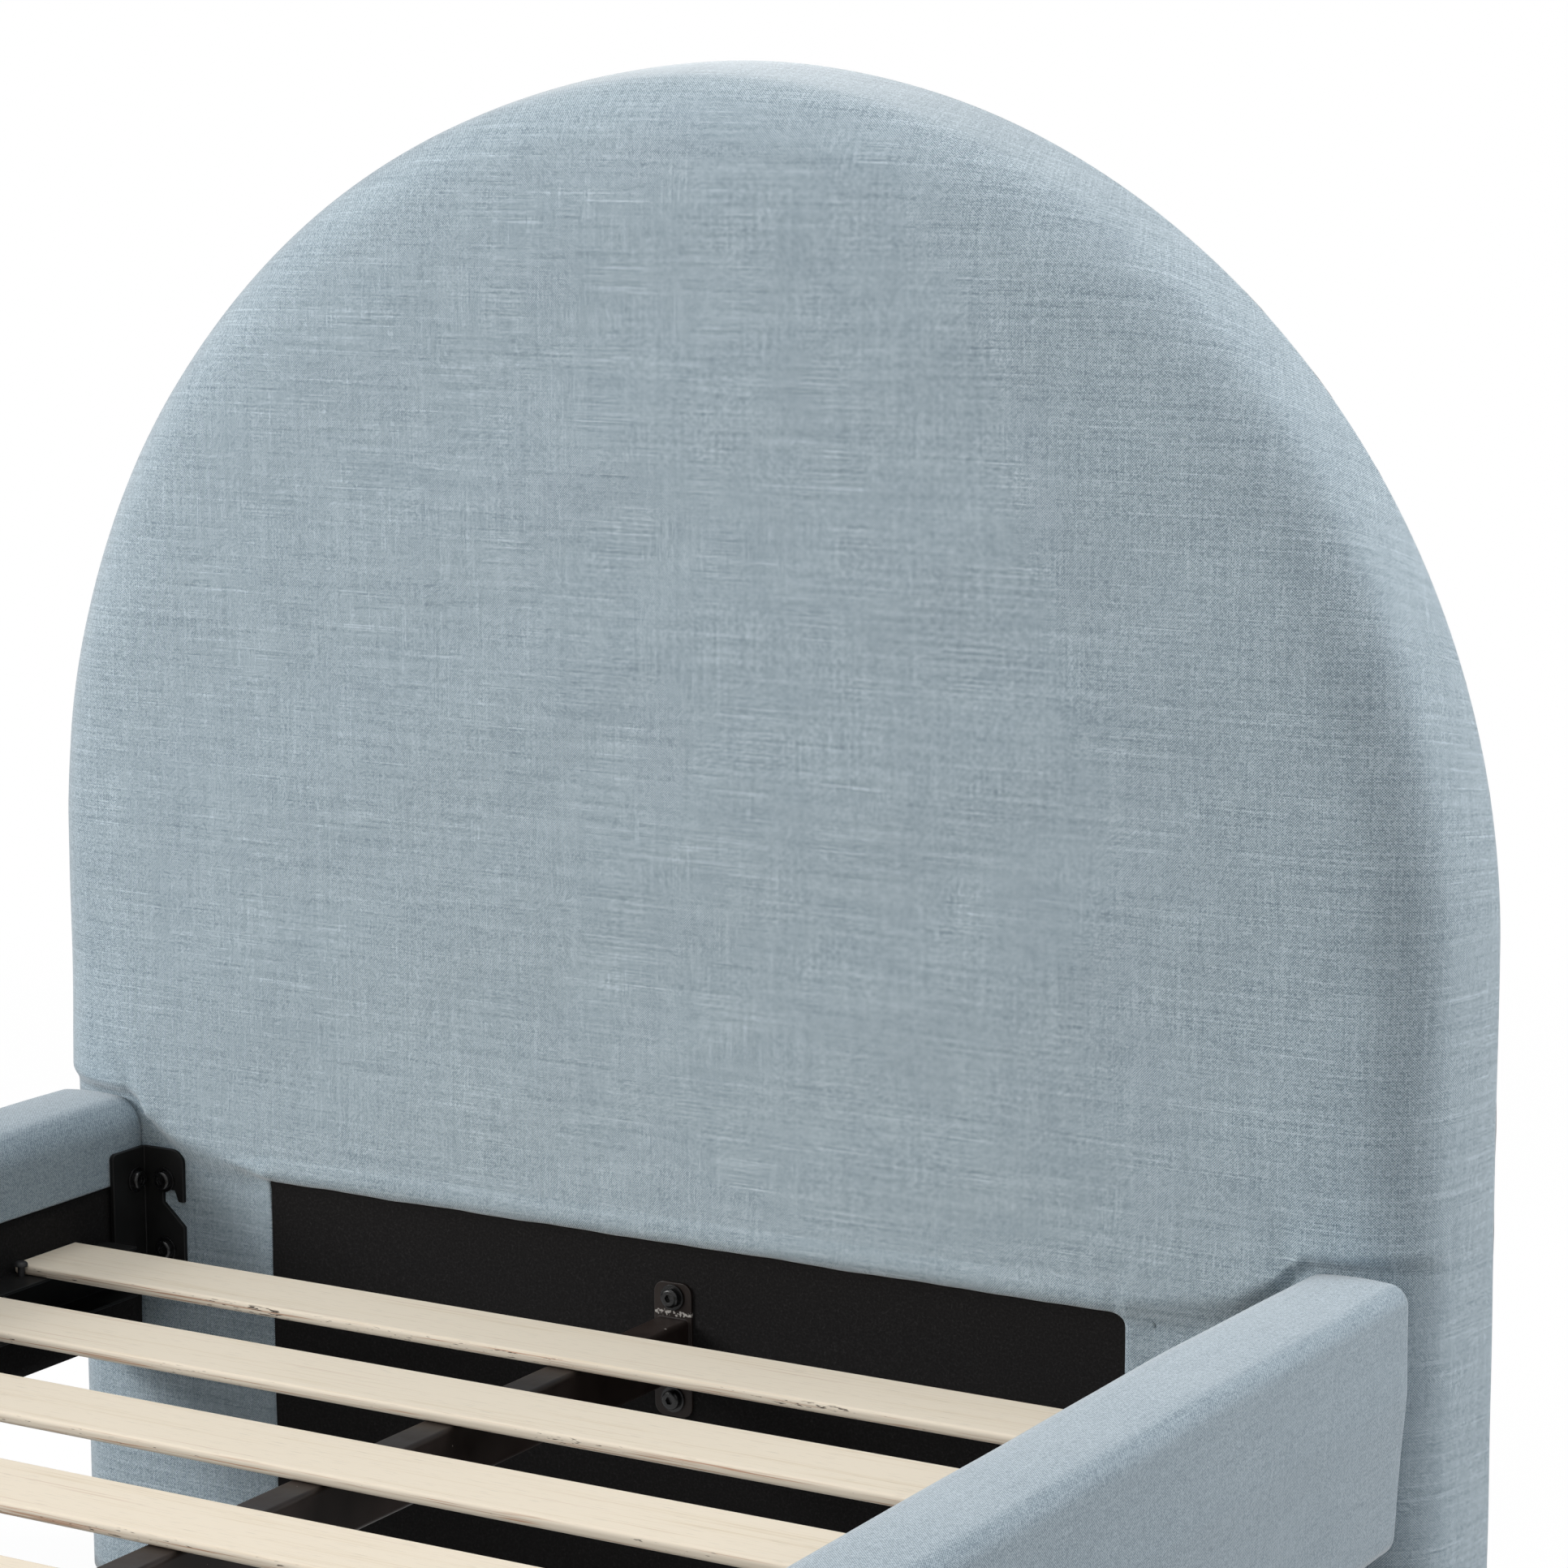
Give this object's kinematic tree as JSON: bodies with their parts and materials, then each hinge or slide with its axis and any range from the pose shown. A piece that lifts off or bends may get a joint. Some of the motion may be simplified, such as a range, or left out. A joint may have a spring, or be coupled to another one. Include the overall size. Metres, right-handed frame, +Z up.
{
  "type": "toddler bed",
  "caption": "Low upholstered child's bed: arched padded headboard down to the floor, padded side rails, slats on steel ledgers and a centre beam with a levelling foot.",
  "frame": {"origin": "on the floor under the middle of the whole bed", "axes": "+X to the right seen from the foot end, +Y to the headboard, +Z up"},
  "size_m": [0.86, 1.467, 0.873],
  "materials": {
    "cover_fabric": "woven, linen look",
    "black_lining": "matt non-woven",
    "foam": "open-cell foam",
    "slat_veneer": "sanded veneer",
    "black_plastic": "moulded",
    "leg_wood": "black stain",
    "pine": "planed",
    "plywood": "sanded",
    "hardboard": "pressed",
    "black_steel": "powder coat",
    "brown_steel": "powder coat",
    "bolt_steel": "black oxide",
    "zinc_steel": "zinc plated"
  },
  "bodies": {
    "bed_frame": {"beam_bolts": "bolt_steel", "bolt_washers": "bolt_steel", "center_beam": "brown_steel", "center_leg": "brown_steel", "center_leg_screws": "zinc_steel", "floor_glides": "black_plastic", "foot_bracket_left": "black_steel", "foot_bracket_right": "black_steel", "footboard_board": "plywood", "footboard_bracket_bolts": "bolt_steel", "footboard_cover": "cover_fabric", "footboard_insert_nuts": "zinc_steel", "footboard_leg_left": "leg_wood", "footboard_leg_right": "leg_wood", "footboard_lining": "black_lining", "footboard_padding": "foam", "head_bracket_left": "black_steel", "head_bracket_right": "black_steel", "headboard_arch_rib": "plywood", "headboard_back_lining": "black_lining", "headboard_bottom_rail": "pine", "headboard_bracket_bolts": "bolt_steel", "headboard_cover": "cover_fabric", "headboard_face_panel": "hardboard", "headboard_foam": "foam", "headboard_front_lining": "black_lining", "headboard_middle_rail": "pine", "headboard_stile_left": "pine", "headboard_stile_right": "pine", "headboard_tee_nuts": "zinc_steel", "ledger_left": "black_steel", "ledger_right": "black_steel", "ledger_screws": "zinc_steel", "leg_insert": "black_plastic", "leg_studs": "zinc_steel", "lock_nut": "zinc_steel", "rail_board_left": "plywood", "rail_board_right": "plywood", "rail_bracket_bolts": "bolt_steel", "rail_cover_left": "cover_fabric", "rail_cover_right": "cover_fabric", "rail_insert_nuts": "zinc_steel", "rail_lining_left": "black_lining", "rail_lining_right": "black_lining", "rail_padding_left": "foam", "rail_padding_right": "foam", "slat_01": "slat_veneer", "slat_02": "slat_veneer", "slat_03": "slat_veneer", "slat_04": "slat_veneer", "slat_05": "slat_veneer", "slat_06": "slat_veneer", "slat_07": "slat_veneer", "slat_08": "slat_veneer", "slat_09": "slat_veneer", "slat_10": "slat_veneer", "slat_11": "slat_veneer", "slat_12": "slat_veneer", "slat_pegs": "black_plastic"},
    "leveller": {"levelling_foot": "bolt_steel"}
  },
  "joints": [
    {"name": "leveller_height", "type": "slide", "parent": "bed_frame", "child": "leveller", "axis": [0, 0, 1], "range_m": [0, 0.012]}
  ]
}
